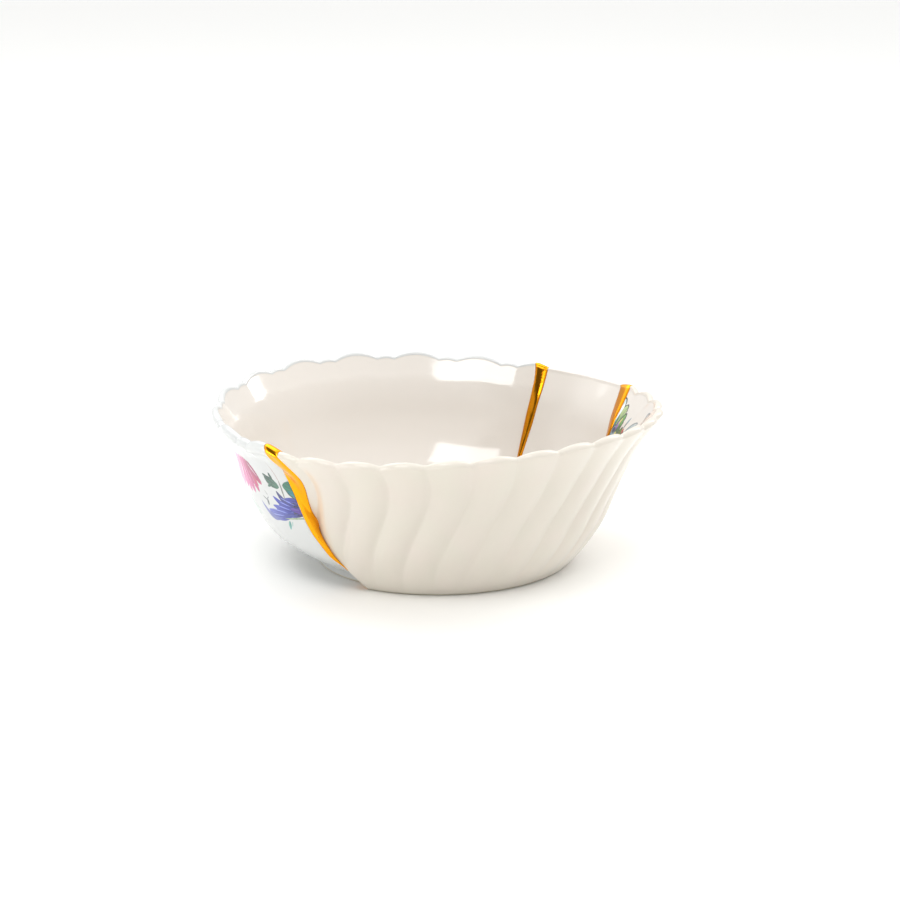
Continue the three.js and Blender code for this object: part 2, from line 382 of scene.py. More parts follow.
FLUTED = Bowl(
    foot_radius=56.6,
    outside=[(57.4, 0.8), (64.4, 9), (71.2, 20), (75.5, 31), (80.2, 42), (86, 53), (94.4, 64)],
    inside=[(44, FLOOR_HEIGHT), (56.5, 9.2), (65, 17.5), (70.9, 29), (75.8, 41), (82, 53.5), (91.6, 64.8)],
    lobe=flute_lobe,
    scallop=FLUTE_SCALLOP,
    depth=through(FLUTE_DEPTHS),
    twist=through(FLUTE_TWISTS),
)
PAINTED = Bowl(
    foot_radius=51.5,
    outside=[
        (51.7, 3.2), (62.6, 9.2), (72.6, 17.4), (78.9, 27.2), (83.6, 38),
        (86.4, 48.5), (89, 57.5), (94.6, 62.2), (95, 64.6),
    ],
    inside=[
        (42, FLOOR_HEIGHT), (56, 9.8), (66.8, 17.6), (74, 27.5), (79.2, 38.5),
        (82.9, 49), (85.9, 56), (88.6, 60.3), (91.8, 65.1),
    ],
    lobe=rim_lobe,
    scallop=LOBE_SCALLOP,
    front_warp=RIM_WARP / 3,
)
PLAIN = Bowl(
    foot_radius=51.5,
    outside=[(51.7, 3.2), (63, 9.8), (72.2, 19), (78.4, 30), (82.8, 41), (87.4, 52.5), (94.6, 63.8)],
    inside=[(42, FLOOR_HEIGHT), (56.5, 10), (66.5, 18.5), (73.5, 29.5), (78.4, 41), (83.2, 53), (91.6, 64.8)],
    lobe=no_lobe,
)


@dataclass
class Break:
    """A broken line from the foot to the rim: its angle and the gold's half width, by height."""

    angle: Callable
    half_width: Callable
    clockwise: Bowl
    anticlockwise: Bowl

    def gold_half(self, bowl):
        """Half the gold's width on every row of a bowl, narrow on the foot and the wall near it."""
        shown = gold_share(bowl)
        return self.half_width(bowl.height) * shown + GOLD_FOOT_HALF_WIDTH * (1 - shown)


def gold_share(bowl):
    """How fully the gold stands proud on each row: not under the foot, and less on the wall near it."""
    wall = smooth_step(*GOLD_TAPER, bowl.height)
    return np.select([bowl.zone < OUTSIDE, bowl.zone == OUTSIDE], [0, wall], 1.0)


FRONT_BREAK = Break(
    angle=through([
        (0, -120.6), (5, -122.5), (10, -125), (16, -127), (21, -127.8), (28, -129.7), (36, -130.6),
        (52, -131.4), (70, -135.4),
    ]),
    half_width=through([(0, 0.6), (36, 0.6), (43, 1.7), (50, 3.4), (55, 4.2), (60, 3.7), (70, 3.4)]),
    clockwise=PAINTED,
    anticlockwise=FLUTED,
)
BACK_BREAK = Break(
    angle=through([(0, 59.2), (26, 59.3), (33, 59.2), (42, 58.7), (53, 58.2), (59, 58.5), (70, 60)]),
    half_width=through([(0, 0.7), (18, 0.8), (26, 1.2), (33, 1.8), (42, 2.5), (59, 2.9), (70, 3.6)]),
    clockwise=PLAIN,
    anticlockwise=PAINTED,
)
RIGHT_BREAK = Break(
    angle=through([(0, 19), (30, 19), (46, 20.2), (52, 21.7), (59, 24.3), (70, 29)]),
    half_width=through([(0, 0.7), (20, 0.9), (36, 1.8), (46, 2.9), (53, 3.6), (60, 4), (70, 4.3)]),
    clockwise=FLUTED,
    anticlockwise=PLAIN,
)


def ring_faces(rows, columns):
    """Faces of a closed tube of points: rows run round it, columns along it, and both its ends are capped."""
    at = np.arange(rows * columns).reshape(rows, columns)
    following = np.roll(at, -1, axis=0)
    quads = np.stack([at[:, :-1], at[:, 1:], following[:, 1:], following[:, :-1]], axis=-1)
    return [*quads.reshape(-1, 4).tolist(), at[:, 0].tolist(), at[::-1, -1].tolist()]


def make_piece(name, points, faces, materials, face_materials, sharp_faces=()):
    """A smooth mesh object from points in millimetres."""
    mesh = bpy.data.meshes.new(name)
    mesh.from_pydata((points.reshape(-1, 3) * MM).tolist(), [], faces)
    for material in materials:
        mesh.materials.append(material)
    mesh.polygons.foreach_set("material_index", face_materials)
    smooth = np.ones(len(faces), bool)
    smooth[list(sharp_faces)] = False
    mesh.polygons.foreach_set("use_smooth", smooth)
    mesh.validate()
    piece = bpy.data.objects.new(name, mesh)
    bpy.context.scene.collection.objects.link(piece)
    return piece


def dress(piece, node):
    """Puts a piece in the place of its solid."""
    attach(piece, "root")
    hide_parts(node)


def shard(name, bowl, first, second, materials, painting_angle=0.0, bands=()):
    """The part of a bowl between two breaks, anticlockwise from the first.

    Its first three materials are those of its outside, inside and bare foot. Bands of further materials
    lie clockwise of their angles on the outside.
    """
    lip = bpy.context.scene.kintsugi_gold.lip / MM * gold_share(bowl)
    start = bowl.along(first, first.gold_half(bowl) - lip)
    end = bowl.along(second, lip - second.gold_half(bowl))
    span = (end - start) % FULL_TURN
    columns = int(span.max() * bpy.context.scene.kintsugi_porcelain.columns_per_degree) + 2
    angle = start[:, None] + span[:, None] * np.linspace(0, 1, columns)
    points = bowl.surface(angle)
    faces = ring_faces(len(bowl.zone), columns)
    bare = (bowl.zone <= FOOT) & (bowl.height < BARE_FOOT_HEIGHT)
    ends = angle[:, 1:]
    zones = [np.broadcast_to(rows[:, None], ends.shape) for rows in (bare, bowl.zone >= INSIDE)]
    choices = [*zones, *(ends < band for band in bands)]
    order = [2, 1, *range(3, 3 + len(bands))]
    face_materials = [*np.select(choices, order, 0).ravel(), 2, 2]
    piece = make_piece(name, points, faces, materials, face_materials, sharp_faces=(-1, -2))
    arc = np.radians(angle - painting_angle) * PAINTING_RADIUS
    place = np.stack([arc, points[..., 2], np.zeros_like(arc)], axis=-1)
    attribute = piece.data.attributes.new("wall_place", "FLOAT_VECTOR", "POINT")
    attribute.data.foreach_set("vector", place.astype(np.float32).ravel())
    return piece


def add_node(tree, kind, inputs, **settings):
    """Adds a node, with its settings and with its inputs, by name or place, set or linked."""
    node = tree.nodes.new(kind)
    for name, value in settings.items():
        setattr(node, name, value)
    for place, value in inputs.items():
        if isinstance(value, bpy.types.NodeSocket):
            tree.links.new(value, node.inputs[place])
        else:
            node.inputs[place].default_value = value
    return node


def new_material(name):
    """A material with its node tree and its shader."""
    material = bpy.data.materials.new(name)
    material.use_nodes = True
    return material, material.node_tree, material.node_tree.nodes["Principled BSDF"]


def opaque(colour):
    """A linear colour with full alpha."""
    return (*colour, 1.0)


@dataclass
class Stroke:
    """One stroke of enamel, from its root to its tip, in millimetres on the wall, with its two colours."""

    root: tuple
    tip: tuple
    width: float
    dark: str
    light: str
    bend: float = 0.0
    fringe: float = 0.25


def calculate(tree, operation, *values, clamp=False):
    """The result of one sum of sockets and numbers."""
    inputs = dict(enumerate(values))
    return add_node(tree, "ShaderNodeMath", inputs, operation=operation, use_clamp=clamp).outputs[0]


def brush_stroke():
    """A node group that draws one stroke: its mask, and its shade from root to tip with fine streaks."""
    if "brush stroke" in bpy.data.node_groups:
        return bpy.data.node_groups["brush stroke"]
    group = bpy.data.node_groups.new("brush stroke", "ShaderNodeTree")
    for name in ("Place", "Root"):
        group.interface.new_socket(name, in_out="INPUT", socket_type="NodeSocketVector")
    for name in ("Heading", "Length", "Width", "Bend", "Fringe"):
        group.interface.new_socket(name, in_out="INPUT", socket_type="NodeSocketFloat")
    for name in ("Mask", "Shade"):
        group.interface.new_socket(name, in_out="OUTPUT", socket_type="NodeSocketFloat")
    given = add_node(group, "NodeGroupInput", {}).outputs
    turned = add_node(
        group, "ShaderNodeVectorRotate",
        {"Vector": given["Place"], "Center": given["Root"], "Angle": given["Heading"]},
        rotation_type="Z_AXIS", invert=True,
    ).outputs[0]
    local = add_node(group, "ShaderNodeVectorMath", {0: turned, 1: given["Root"]}, operation="SUBTRACT")
    split = add_node(group, "ShaderNodeSeparateXYZ", {0: local.outputs[0]}).outputs
    along = calculate(group, "DIVIDE", split["X"], given["Length"], clamp=True)
    # A bell from 0 at both ends to 1 in the middle, for the stroke's width and its bend
    left = calculate(group, "SUBTRACT", 1.0, along)
    bell = calculate(group, "MULTIPLY", calculate(group, "MULTIPLY", along, left), 4.0)
    full = calculate(group, "POWER", bell, 0.6)
    # Bristle marks: about one to the millimetre across a stroke and ten millimetres long
    drawn_out = {0: local.outputs[0], 1: (0.1, 1.1, 1.0)}
    bristles = add_node(group, "ShaderNodeVectorMath", drawn_out, operation="MULTIPLY").outputs[0]
    streak = add_node(group, "ShaderNodeTexNoise", {"Vector": bristles, "Scale": 1.0, "Detail": 2.0})
    # Ragged edges: about one notch to the millimetre, none at the ends
    ragged = add_node(group, "ShaderNodeTexNoise", {"Vector": given["Place"], "Scale": 1.0, "Detail": 1.0})
    notch = calculate(group, "SUBTRACT", ragged.outputs[0], 0.5)
    cut = calculate(group, "MULTIPLY", notch, calculate(group, "MULTIPLY", given["Fringe"], full))
    offset = calculate(group, "SUBTRACT", split["Y"], calculate(group, "MULTIPLY", bell, given["Bend"]))
    worn = calculate(group, "ADD", calculate(group, "ABSOLUTE", offset), cut)
    edge = calculate(group, "MULTIPLY", full, calculate(group, "MULTIPLY", given["Width"], 0.5))
    inside = calculate(group, "SUBTRACT", edge, worn)
    mask = add_node(group, "ShaderNodeMapRange", {"Value": inside, "From Min": 0.0, "From Max": 0.25})
    streaked = add_node(
        group, "ShaderNodeMapRange",
        {"Value": streak.outputs[0], "From Min": 0.35, "From Max": 0.65, "To Min": -0.45, "To Max": 0.45},
    )
    shade = calculate(group, "ADD", along, streaked.outputs[0], clamp=True)
    add_node(group, "NodeGroupOutput", {"Mask": mask.outputs[0], "Shade": shade})
    return group


def picture(name, strokes):
    """A node group that lays strokes of enamel over a glaze, in their order."""
    group = bpy.data.node_groups.new(name, "ShaderNodeTree")
    group.interface.new_socket("Place", in_out="INPUT", socket_type="NodeSocketVector")
    group.interface.new_socket("Glaze", in_out="INPUT", socket_type="NodeSocketColor")
    group.interface.new_socket("Colour", in_out="OUTPUT", socket_type="NodeSocketColor")
    given = add_node(group, "NodeGroupInput", {}).outputs
    colour = given["Glaze"]
    for stroke in strokes:
        reach = [tip - root for root, tip in zip(stroke.root, stroke.tip)]
        drawn = add_node(
            group, "ShaderNodeGroup",
            {
                "Place": given["Place"],
                "Root": (*stroke.root, 0.0),
                "Heading": math.atan2(reach[1], reach[0]),
                "Length": math.hypot(*reach),
                "Width": stroke.width,
                "Bend": stroke.bend,
                "Fringe": stroke.fringe,
            },
            node_tree=brush_stroke(),
        ).outputs
        enamel = add_node(
            group, "ShaderNodeMix",
            {"Factor": drawn["Shade"], "A": opaque(linear(stroke.dark)), "B": opaque(linear(stroke.light))},
            data_type="RGBA",
        )
        laid = add_node(
            group, "ShaderNodeMix",
            {"Factor": drawn["Mask"], "A": colour, "B": enamel.outputs["Result"]},
            data_type="RGBA",
        )
        colour = laid.outputs["Result"]
    add_node(group, "NodeGroupOutput", {"Colour": colour})
    return group


def bloom():
    """Strokes of a fringed bloom that hangs from a stem: petals pale at its left and magenta at its right."""
    petals = [
        Stroke((-27, 52), (-34, 41), 6, "#D58FAE", "#E6B7C7", fringe=0.7),
        Stroke((-25, 52.5), (-29.5, 38.6), 6, "#D277A6", "#E29DBE", fringe=0.7),
        Stroke((-22.5, 53), (-24.5, 38), 6, "#CB5F9A", "#DB82B1", fringe=0.7),
        Stroke((-20, 53), (-19.5, 38.8), 5.6, "#BF4085", "#D1629D", fringe=0.7),
        Stroke((-18, 53), (-15.5, 38.2), 5.2, "#BB3780", "#CF5799", fringe=0.7),
        Stroke((-16.5, 53), (-11.4, 38.4), 5, "#AF2A70", "#C54588", fringe=0.7),
        Stroke((-15, 52.6), (-6.6, 40), 4.6, "#A0205E", "#B83372", fringe=0.7),
        Stroke((-14, 52.2), (-2.6, 44.3), 4.4, "#941A54", "#AC2861", fringe=0.7),
    ]
    shading = [
        Stroke((-15.5, 52.8), (-2.4, 45.2), 1.0, "#8A3A64", "#7E2450", bend=0.7),
        Stroke((-13, 51.4), (-5, 46.9), 0.7, "#F6E2EA", "#E9A9C8"),
        Stroke((-9.8, 47), (-6, 42.6), 2, "#B02F57", "#C03A62"),
        Stroke((-18.6, 51), (-17.6, 41.5), 0.6, "#F2B4D4", "#EFA6CC"),
        Stroke((-16.6, 50), (-13, 41), 0.5, "#EE9FCA", "#E88ABD"),
        Stroke((-21.6, 50.5), (-22.2, 41), 0.8, "#F8DCE8", "#F5C9DC"),
        Stroke((-12.6, 49), (-9, 42.4), 0.5, "#E78CBC", "#E37FB4"),
        Stroke((-15.2, 50), (-10.2, 41), 0.4, "#A03070", "#98286A"),
        Stroke((-23.2, 51), (-25.4, 41), 0.6, "#CC7FA9", "#D58DB4"),
    ]
    pale_leaf = [
        Stroke((-25, 33.4), (-15.8, 27.2), 4.2, "#A3BBB1", "#C6D5CE"),
        Stroke((-21, 36.6), (-14.4, 28), 0.6, "#76907F", "#8CA79B", bend=0.6),
    ]
    return petals + shading + pale_leaf


def blue_leaf():
    """Strokes of a feathery blue leaf: a body that ends in a hook, and flames along its top."""
    body = [
        Stroke((26, 39.5), (4, 34.5), 7.2, "#1B154A", "#3B47A8"),
        Stroke((16, 36), (-5, 31.2), 5.4, "#2F3A98", "#5964BA", bend=1),
        Stroke((5, 31), (-7.8, 36.4), 3.2, "#5560AC", "#7D82B8", bend=3.3),
    ]
    flames = [
        Stroke((25, 42.6), (11.5, 41.2), 2.6, "#2A2670", "#434DAB"),
        Stroke((17, 38.5), (7.5, 44), 3, "#2A3192", "#363B66", bend=1.2, fringe=0.4),
        Stroke((16, 37.5), (4.2, 41), 3, "#2C3596", "#4752B2", bend=0.9, fringe=0.4),
        Stroke((15, 36.5), (2.2, 36.4), 3, "#2A3394", "#4A56B8", bend=0.4, fringe=0.4),
        Stroke((11, 35), (-3.4, 33.2), 2.6, "#343FA0", "#5D69C2", bend=0.4, fringe=0.4),
        Stroke((25, 37.6), (14.5, 37.4), 2.8, "#452180", "#5A40A2"),
    ]
    light = [
        Stroke((18, 39.8), (9.2, 41.4), 0.7, "#7D8AE2", "#98A4F0"),
        Stroke((17, 38.2), (7.6, 39.4), 0.7, "#7D8AE2", "#98A4F0"),
        Stroke((15, 36.8), (5.6, 37.2), 0.7, "#7D8AE2", "#98A4F0"),
        Stroke((12, 34.8), (0.6, 34.6), 0.7, "#8794E4", "#A3AEF2"),
        Stroke((9, 33), (-1.4, 31.6), 0.7, "#8794E4", "#A3AEF2"),
    ]
    dark = [
        Stroke((22, 38.6), (8.6, 38.2), 0.6, "#25267A", "#2E338C"),
        Stroke((19, 36.9), (5.6, 35.7), 0.6, "#25267A", "#2E338C"),
        Stroke((21, 36), (5, 30.6), 0.6, "#2A2A68", "#3C4390", bend=-1.2),
    ]
    return body + flames + light + dark


def leaves():
    """Strokes of the leaves on their stems, tendrils and a sprig, round the blue leaf."""
    stems = [
        Stroke((4.2, 56.2), (12.7, 40.4), 0.6, "#A98A80", "#85736B", bend=2.6),
        Stroke((10.8, 49.6), (12.9, 40), 0.8, "#5A6A5E", "#4C5A55"),
        Stroke((7.4, 31.4), (25, 35.2), 0.9, "#9DB08A", "#6F8A6A"),
    ]
    dark_leaf = [
        Stroke((0.8, 48.6), (10.4, 46), 4.4, "#22433A", "#4F7D68", fringe=0.9),
        Stroke((5, 48.2), (0, 49.9), 1.8, "#2B4C42", "#31564A", fringe=0.5),
        Stroke((7, 48.6), (4.6, 51.4), 1.7, "#2B4C42", "#31564A", fringe=0.5),
        Stroke((6, 46.8), (2.4, 44.8), 1.7, "#35594B", "#4A7563", fringe=0.5),
    ]
    round_leaf = [
        Stroke((12.8, 47.4), (26, 45.6), 6.6, "#2A6650", "#348A72", bend=0.6),
        Stroke((15, 45.2), (24, 43.8), 2.8, "#1F6F7A", "#2C8C92"),
        Stroke((14, 46), (20, 42.8), 1.0, "#1E3B34", "#2A5048", bend=-0.7),
    ]
    tendrils = [
        Stroke((-1.8, 42.4), (0.6, 40), 0.6, "#7A7E72", "#6A7068"),
        Stroke((-4.5, 39.3), (-0.4, 37.4), 0.8, "#5A6058", "#4E5560"),
        Stroke((0.6, 39.8), (-1.4, 38.2), 0.7, "#4E5560", "#5A6270"),
        Stroke((-0.7, 38.4), (-1.7, 35.4), 1.7, "#50575C", "#6A7079"),
    ]
    sprig = [
        Stroke((11, 31.2), (8.3, 26.4), 1.9, "#35827F", "#79B5AB"),
        Stroke((12.8, 31.3), (11, 28.4), 0.9, "#8FB5AE", "#A9C6BF"),
    ]
    return stems + dark_leaf + round_leaf + tendrils + sprig


def reaching(strokes, low, high):
    """Those strokes that reach into a stretch of the wall."""
    chosen = []
    for stroke in strokes:
        spread = stroke.width / 2 + abs(stroke.bend)
        ends = sorted((stroke.root[0], stroke.tip[0]))
        if ends[0] - spread < high and ends[1] + spread > low:
            chosen.append(stroke)
    return chosen


def garden():
    """Strokes of a garden scene: outlined rocks and bushes under a pale sky, flowers and leaves."""
    strokes = []
    outline = ("#1F2823", "#2A2F26")
    # Rocks and bushes from the back to the front: root, tip, width and fill
    masses = [
        ((31.5, 46), (33, 60.2), 9, "#8FB8C0", "#DCEBEE"),
        ((26, 46), (27, 58.6), 8, "#4C7F3A", "#B4C488"),
        ((21.6, 46), (22.4, 56), 5, "#35692A", "#71A34F"),
        ((28.8, 46), (28.4, 54.6), 4, "#2A635D", "#629890"),
        ((30, 41), (29.4, 51.4), 6, "#1B2823", "#3A5244"),
        ((20.6, 41), (20.6, 51), 6, "#12351B", "#38672F"),
        ((16.6, 41), (17, 51.4), 5, "#223D27", "#567A3F"),
        ((25, 41), (25.2, 50.6), 5, "#3A5963", "#869CA8"),
        ((13, 43), (13.2, 50.6), 3, "#3A332A", "#6E6A4C"),
    ]
    for root, tip, width, dark, light in masses:
        strokes.append(Stroke(root, (tip[0], tip[1] + 0.5), width + 1.1, *outline, fringe=1.2))
        strokes.append(Stroke(root, tip, width, dark, light, fringe=1.2))
    strokes += [
        Stroke((29.5, 50), (30.4, 58.6), 4.2, "#D5E9EF", "#F3F8FA"),
        Stroke((24, 48.4), (23.4, 53.2), 2.2, "#6E4580", "#9C74AC"),
        Stroke((23.2, 51.4), (22.8, 54.4), 1.4, "#CDAF52", "#E0CC84"),
        Stroke((25, 47.4), (25, 50.2), 2.6, "#161F3A", "#243055"),
        Stroke((22, 45.8), (21.8, 48.8), 2.4, "#A59848", "#CDBF72"),
        Stroke((14.5, 49.6), (14.6, 51.8), 2.2, "#A93430", "#BC4A44"),
        Stroke((15.6, 51.4), (14.7, 56.4), 2, "#66797F", "#9AA8AA"),
        Stroke((11.6, 50.4), (0.2, 57.2), 3.4, "#56686E", "#7F8C8C", bend=-0.6),
        Stroke((11, 50.8), (0.8, 56.8), 2.2, "#7D929A", "#B4BFBF", bend=-0.6),
        Stroke((-8.4, 57.8), (-0.8, 62.2), 3.6, "#8A8482", "#7F8A8C", bend=0.9),
        Stroke((-7.6, 58.2), (-1.6, 61.8), 2.2, "#B9C2C0", "#A9A2A0", bend=0.9),
    ]
    return strokes


def satin_ivory_glaze(colour):
    """Ivory porcelain, slip cast and glazed satin: broad soft highlights, and a faint pearly lustre painted
    into its colour as a painted sheen.
    """
    material, tree, shader = new_material("satin ivory glaze")
    place = add_node(tree, "ShaderNodeAttribute", {}, attribute_name="wall_place").outputs["Vector"]
    # Pearly lustre as painted sheen: pink and green tints in patches about 14 mm across
    patch = add_node(tree, "ShaderNodeTexNoise", {"Vector": place, "Scale": 1 / 14, "Detail": 1.0})
    pearly_sheen_tint = add_node(
        tree, "ShaderNodeMix",
        {"Factor": patch.outputs["Fac"], "A": opaque(linear("#D3D5C3")), "B": opaque(linear("#DED0C8"))},
        data_type="RGBA",
    )
    # The ivory colour with the painted sheen mixed in
    glaze = add_node(
        tree, "ShaderNodeMix",
        {"Factor": 0.4, "A": opaque(colour), "B": pearly_sheen_tint.outputs["Result"]},
        data_type="RGBA",
    )
    tree.links.new(glaze.outputs["Result"], shader.inputs["Base Color"])
    shader.inputs["Roughness"].default_value = 0.3
    shader.inputs["IOR"].default_value = 1.55
    shader.inputs["Coat Weight"].default_value = 0.4
    shader.inputs["Coat Roughness"].default_value = 0.15
    return material


def painted_glaze(name, colour, roughness, painting, shift=0.0):
    """Glazed porcelain with enamel painted and fired over the glaze, level with it and as glossy."""
    material, tree, shader = new_material(name)
    place = add_node(tree, "ShaderNodeAttribute", {}, attribute_name="wall_place").outputs["Vector"]
    moved = add_node(tree, "ShaderNodeVectorMath", {0: place, 1: (shift, 0.0, 0.0)}, operation="SUBTRACT")
    drawn = add_node(tree, "ShaderNodeGroup", {}, node_tree=painting)
    drawn.inputs["Glaze"].default_value = opaque(colour)
    tree.links.new(moved.outputs[0], drawn.inputs["Place"])
    tree.links.new(drawn.outputs["Colour"], shader.inputs["Base Color"])
    shader.inputs["Roughness"].default_value = roughness
    shader.inputs["IOR"].default_value = GLAZE_IOR
    return material


def white_glaze(name, colour, roughness):
    """Glazed porcelain, fired glossy: a clear glassy skin over a white body, so highlights are sharp."""
    material, _, shader = new_material(name)
    shader.inputs["Base Color"].default_value = opaque(colour)
    shader.inputs["Roughness"].default_value = roughness
    shader.inputs["IOR"].default_value = GLAZE_IOR
    return material


def biscuit_porcelain(colour):
    """Bare porcelain, wiped free of glaze under the foot: matt and a little darker than the glaze."""
    material, _, shader = new_material("biscuit porcelain")
    shader.inputs["Base Color"].default_value = opaque(colour)
    shader.inputs["Roughness"].default_value = 0.75
    return material


def gold_lacquer(name, colour):
    """Gold powder burnished into lacquer: a warm metal with a soft shine, uneven from the hand."""
    material, tree, shader = new_material(name)
    shader.inputs["Base Color"].default_value = opaque(colour)
    shader.inputs["Metallic"].default_value = 1.0
    shader.inputs["Roughness"].default_value = 0.2
    place = add_node(tree, "ShaderNodeTexCoord", {}).outputs["Object"]
    # Ripples from the burnisher, about 4 mm apart
    ripple = add_node(tree, "ShaderNodeTexNoise", {"Vector": place, "Scale": 1 / (4 * MM), "Detail": 2.0})
    bump = add_node(
        tree, "ShaderNodeBump", {"Height": ripple.outputs["Fac"], "Strength": 0.25, "Distance": 0.5 * MM}
    )
    tree.links.new(bump.outputs[0], shader.inputs["Normal"])
    return material


class KINTSUGI_OT_fluted_shard(bpy.types.Operator):
    """Makes the ivory shard with leaning flutes."""

    bl_idname = "kintsugi.fluted_shard"
    bl_label = "Fluted shard"

    def execute(self, context):
        porcelain = context.scene.kintsugi_porcelain
        outside = satin_ivory_glaze(porcelain.ivory)
        scenery = picture("garden", garden())
        inside = painted_glaze("warm white glaze with garden", porcelain.warm_white, 0.12, scenery)
        materials = [outside, inside, biscuit_porcelain(porcelain.biscuit)]
        piece = shard("ivory_fluted_shard", FLUTED, FRONT_BREAK, RIGHT_BREAK, materials, GARDEN_ANGLE)
        dress(piece, "fluted_shard")
        return {"FINISHED"}


class KINTSUGI_OT_painted_shard(bpy.types.Operator):
    """Makes the white shard with painted flowers."""

    bl_idname = "kintsugi.painted_shard"
    bl_label = "Painted shard"

    def execute(self, context):
        porcelain = context.scene.kintsugi_porcelain
        flowers = bloom() + blue_leaf() + leaves()
        wall_half = math.pi * PAINTING_RADIUS
        right = picture("leaves", reaching(flowers, BLOOM_EDGE, wall_half))
        left = picture("bloom", reaching(flowers, -wall_half, BLOOM_EDGE))
        plainer = picture("hidden bloom", bloom())
        shift = math.radians(HIDDEN_BLOOM_ANGLE - SPRAY_ANGLE) * PAINTING_RADIUS
        materials = [
            painted_glaze("white glaze with leaves", porcelain.white, 0.08, right),
            white_glaze("white glaze inside", porcelain.warm_white, 0.1),
            biscuit_porcelain(porcelain.biscuit),
            painted_glaze("white glaze with hidden bloom", porcelain.white, 0.08, plainer, shift),
            painted_glaze("white glaze with bloom", porcelain.white, 0.08, left),
        ]
        between = (SPRAY_ANGLE + HIDDEN_BLOOM_ANGLE) / 2
        bands = (between, SPRAY_ANGLE + math.degrees(BLOOM_EDGE / PAINTING_RADIUS))
        piece = shard("white_painted_shard", PAINTED, BACK_BREAK, FRONT_BREAK, materials, SPRAY_ANGLE, bands)
        dress(piece, "painted_shard")
        return {"FINISHED"}


class KINTSUGI_OT_plain_shard(bpy.types.Operator):
    """Makes the plain white shard."""

    bl_idname = "kintsugi.plain_shard"
    bl_label = "Plain shard"

    def execute(self, context):
        porcelain = context.scene.kintsugi_porcelain
        glaze = white_glaze("plain white glaze", porcelain.warm_white, 0.1)
        materials = [glaze, glaze, biscuit_porcelain(porcelain.biscuit)]
        piece = shard("plain_white_shard", PLAIN, RIGHT_BREAK, BACK_BREAK, materials)
        dress(piece, "plain_shard")
        return {"FINISHED"}


def unit(vectors):
    """Vectors made one long."""
    return vectors / np.linalg.norm(vectors, axis=-1, keepdims=True)


def gold_arm(line, crown):
    """Points of the gold along one break, round its section: proud of the wall and rooted in the crack."""
    edges = [
        bowl.surface(bowl.along(line, side * line.gold_half(bowl))[:, None])[:, 0]
        for side, bowl in ((-1, line.clockwise), (1, line.anticlockwise))
    ]
    across = edges[1] - edges[0]
    middle = (edges[0] + edges[1]) / 2
    out = unit(np.cross(across, np.gradient(middle, axis=0)))
    share = (gold_share(line.clockwise) + gold_share(line.anticlockwise)) / 2
    width = np.linalg.norm(across, axis=-1)
    over_rim = line.clockwise.zone == RIM
    rise = crown * share * np.minimum(1, width / GOLD_FULL_WIDTH) * np.where(over_rim, GOLD_RIM_SHARE, 1)
    top = np.linspace(-1, 1, GOLD_ACROSS + 1)
    sideways = np.concatenate([top, [GOLD_ROOT_SHARE, -GOLD_ROOT_SHARE]])
    lift = np.concatenate([1 - np.abs(top) ** GOLD_FLATNESS, [0, 0]])
    depth = np.concatenate([np.zeros_like(top), [GOLD_ROOT_DEPTH] * 2])
    proud = rise[:, None] * lift - depth - GOLD_RECESS * (1 - share)[:, None]
    points = middle[:, None] + across[:, None] * sideways[:, None] / 2 + out[:, None] * proud[..., None]
    return points.transpose(1, 0, 2)[::-1]


def gold_drop():
    """Points of the drop of gold in the middle of the floor, turn by turn clockwise."""
    radius, rise = np.array(GOLD_DROP).T
    turn = -np.radians(np.arange(GOLD_DROP_SIDES) * FULL_TURN / GOLD_DROP_SIDES)[:, None]
    height = np.broadcast_to(FLOOR_HEIGHT + rise, (GOLD_DROP_SIDES, len(rise)))
    return np.stack([radius * np.cos(turn), radius * np.sin(turn), height], axis=-1)


class KINTSUGI_OT_gold_seam(bpy.types.Operator):
    """Makes the gold along the three breaks and the pool where they meet."""

    bl_idname = "kintsugi.gold_seam"
    bl_label = "Gold seam"

    def execute(self, context):
        gold = context.scene.kintsugi_gold
        lines = (FRONT_BREAK, BACK_BREAK, RIGHT_BREAK)
        tubes = [(gold_arm(line, gold.crown / MM), line.clockwise.zone >= INSIDE) for line in lines]
        tubes.append((gold_drop(), np.full(len(GOLD_DROP), True)))
        points, faces, painted_shade_choice = [], [], []
        for tube, is_inside in tubes:
            first = sum(len(part) for part in points)
            for face in ring_faces(*tube.shape[:2]):
                faces.append([first + at for at in face])
                painted_shade_choice.append(int(is_inside[face[0] % len(is_inside)]))
            points.append(tube.reshape(-1, 3))
        # Faces inside the bowl take a darker copy of the gold lacquer as painted shade; the gold is one
        # lacquer throughout
        materials = [
            gold_lacquer("burnished gold lacquer", gold.colour),
            gold_lacquer("deep gold lacquer", gold.shaded_inside_colour),
        ]
        piece = make_piece("raised_gold_seam", np.concatenate(points), faces, materials, painted_shade_choice)
        dress(piece, "gold_seam")
        return {"FINISHED"}


def soft_box(name, heading, climb, away, sides, power):
    """A soft light that faces the bowl from a heading and a climb in degrees, some metres away."""
    data = bpy.data.lights.new(name, "AREA")
    data.shape = "RECTANGLE"
    data.size, data.size_y = sides
    data.energy = power
    lamp = bpy.data.objects.new(name, data)
    turn, rise = math.radians(heading), math.radians(climb)
    lamp.location = (
        away * math.cos(rise) * math.cos(turn),
        away * math.cos(rise) * math.sin(turn),
        away * math.sin(rise),
    )
    lamp.rotation_euler = lamp.location.to_track_quat("Z", "Y").to_euler()
    bpy.context.scene.collection.objects.link(lamp)


def smooth_range(tree, value, start, end):
    """A value that changes smoothly between two ends, each given as its place and the result there."""
    (low, first), (high, last) = start, end
    inputs = {"Value": value, "From Min": low, "From Max": high, "To Min": first, "To Max": last}
    return add_node(tree, "ShaderNodeMapRange", inputs, interpolation_type="SMOOTHSTEP").outputs[0]


